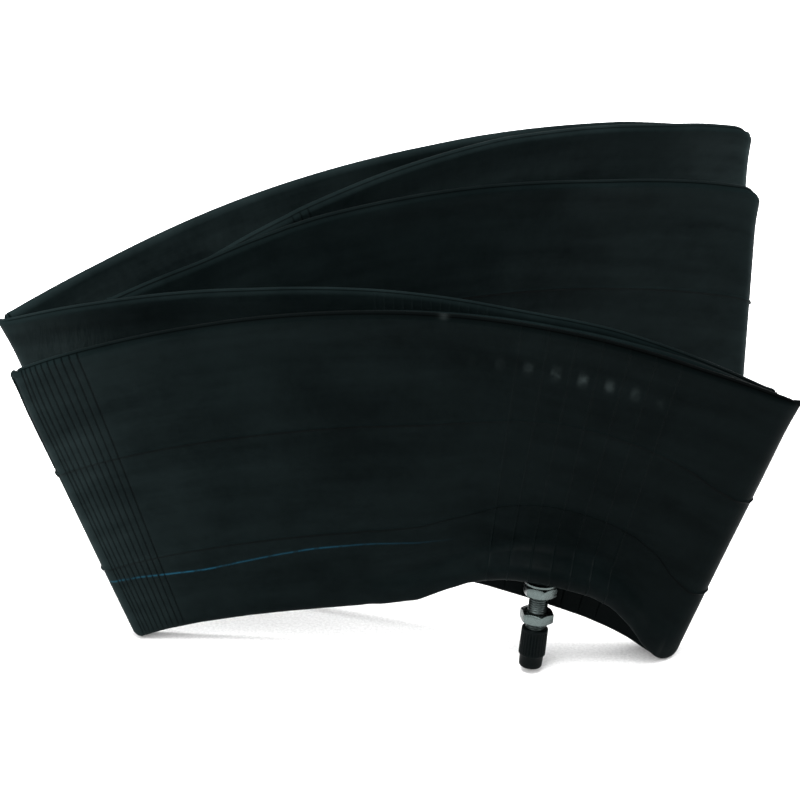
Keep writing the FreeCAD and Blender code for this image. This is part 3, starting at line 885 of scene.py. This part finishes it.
def plain_material(name, colour, roughness, metallic=0.0, specular=0.5, grain_scale=900.0, grain=0.1):
    nodes = Nodes(name)
    place = nodes.new("ShaderNodeTexCoord").outputs["Object"]
    noise = nodes.noise(place, grain_scale, 3.0)
    darker = tuple(c * 0.8 for c in colour)
    nodes.put(nodes.bsdf.inputs["Base Color"], nodes.ramp(noise, 0.3, 0.7, (darker, colour)))
    nodes.put(nodes.bsdf.inputs["Roughness"], nodes.grey(noise, 0.3, 0.7, roughness * 0.85, roughness * 1.15))
    nodes.bsdf.inputs["Metallic"].default_value = metallic
    nodes.bsdf.inputs["Specular IOR Level"].default_value = specular
    nodes.bump(noise, grain, 0.0001)
    return nodes.material


def dress(obj, material):
    obj.data.materials.clear()
    obj.data.materials.append(material)


# ---- stage -------------------------------------------------------------------------------------
CAMERA_ELEVATION = math.radians(31.0)
CAMERA_DISTANCE = 2.6
VIEW_WIDTH = 0.3180
AIM = Vector((0.0010, -0.0153, 0.0729))
SENSOR = 36.0
FLOOR_REACH = 6.0
# Name, place and width in metres, power in watts.
LIGHTS = [("key", (-0.95, -0.5, 1.5), 2.0, 20.0),
          ("top", (-0.1, -0.15, 1.9), 1.1, 80.0),
          ("edge", (1.2, 0.6, 0.9), 1.0, 14.0)]


def build_stage():
    camera_data = bpy.data.cameras.new("camera")
    camera = bpy.data.objects.new("camera", camera_data)
    bpy.context.scene.collection.objects.link(camera)
    back = Vector((0, -math.cos(CAMERA_ELEVATION), math.sin(CAMERA_ELEVATION)))
    camera.location = AIM + back * CAMERA_DISTANCE
    camera.rotation_euler = (math.pi / 2 - CAMERA_ELEVATION, 0, 0)
    camera_data.sensor_width = SENSOR
    camera_data.lens = SENSOR * CAMERA_DISTANCE / VIEW_WIDTH
    camera_data.clip_end = 50.0
    bpy.context.scene.camera = camera

    mesh = bpy.data.meshes.new("floor")
    mesh.from_pydata([(x * FLOOR_REACH, y * FLOOR_REACH, 0) for x, y in ((-1, -1), (1, -1), (1, 1), (-1, 1))],
                     [], [(0, 1, 2, 3)])
    floor = bpy.data.objects.new("floor", mesh)
    bpy.context.scene.collection.objects.link(floor)
    dress(floor, plain_material("pale_floor", (0.93, 0.93, 0.93), 0.9, specular=0.1, grain=0.0))

    world = bpy.data.worlds.new("studio")
    world.use_nodes = True
    world.node_tree.nodes["Background"].inputs[0].default_value = (1, 1, 1, 1)
    world.node_tree.nodes["Background"].inputs[1].default_value = 1.8
    bpy.context.scene.world = world
    for name, place, width, power in LIGHTS:
        soft_light(name, place, width, power)
    bpy.context.scene.view_settings.view_transform = "Standard"


def soft_light(name, place, size, power):
    data = bpy.data.lights.new(name, "AREA")
    data.energy = power
    data.size = size
    light = bpy.data.objects.new(name, data)
    light.location = place
    light.rotation_euler = (Vector((0, 0, 0.06)) - Vector(place)).to_track_quat("-Z", "Y").to_euler()
    bpy.context.scene.collection.objects.link(light)


# ---- assembly ----------------------------------------------------------------------------------
def stand_in(obj, body, node_name, material):
    """A detailed piece that takes a CAD piece's place."""
    dress(obj, material)
    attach(obj, body)
    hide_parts(node_name)


def main():
    plated = plain_material("plated_brass", (0.066, 0.082, 0.080), 0.27, metallic=1.0)
    shank = plain_material("plated_shank", (0.062, 0.076, 0.075), 0.38, metallic=1.0)
    brass = plain_material("bare_brass", (0.42, 0.31, 0.14), 0.3, metallic=1.0)
    plastic = plain_material("cap_plastic", (0.0008, 0.0017, 0.0018), 0.45, specular=0.022)
    pad = plain_material("pad_rubber", (0.0014, 0.0022, 0.0023), 0.5, specular=0.02)
    seal = plain_material("seal_rubber", (0.16, 0.02, 0.015), 0.7)
    steel = plain_material("spring_steel", (0.4, 0.4, 0.4), 0.3, metallic=1.0)
    stand_in(build_tube(), "tube", "inner_tube", tube_material())
    stand_in(stem(), "tube", "valve_stem", shank)
    stand_in(washer(), "tube", "clamp_washer", plated)
    stand_in(bevelled("clamp_nut", 0.16), "clamp_nut", "clamp_nut", plated)
    stand_in(bevelled("rim_nut", 0.16), "rim_nut", "rim_nut", plated)
    stand_in(cap(), "cap", "dust_cap", plastic)
    for name, material in {"base_patch": pad, "core_plug": brass, "core_barrel": brass, "core_gasket": seal,
                           "core_pin": brass, "core_cup": brass, "core_cup_seal": seal,
                           "core_spring": steel}.items():
        dress(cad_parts[name], material)


main()
build_stage()
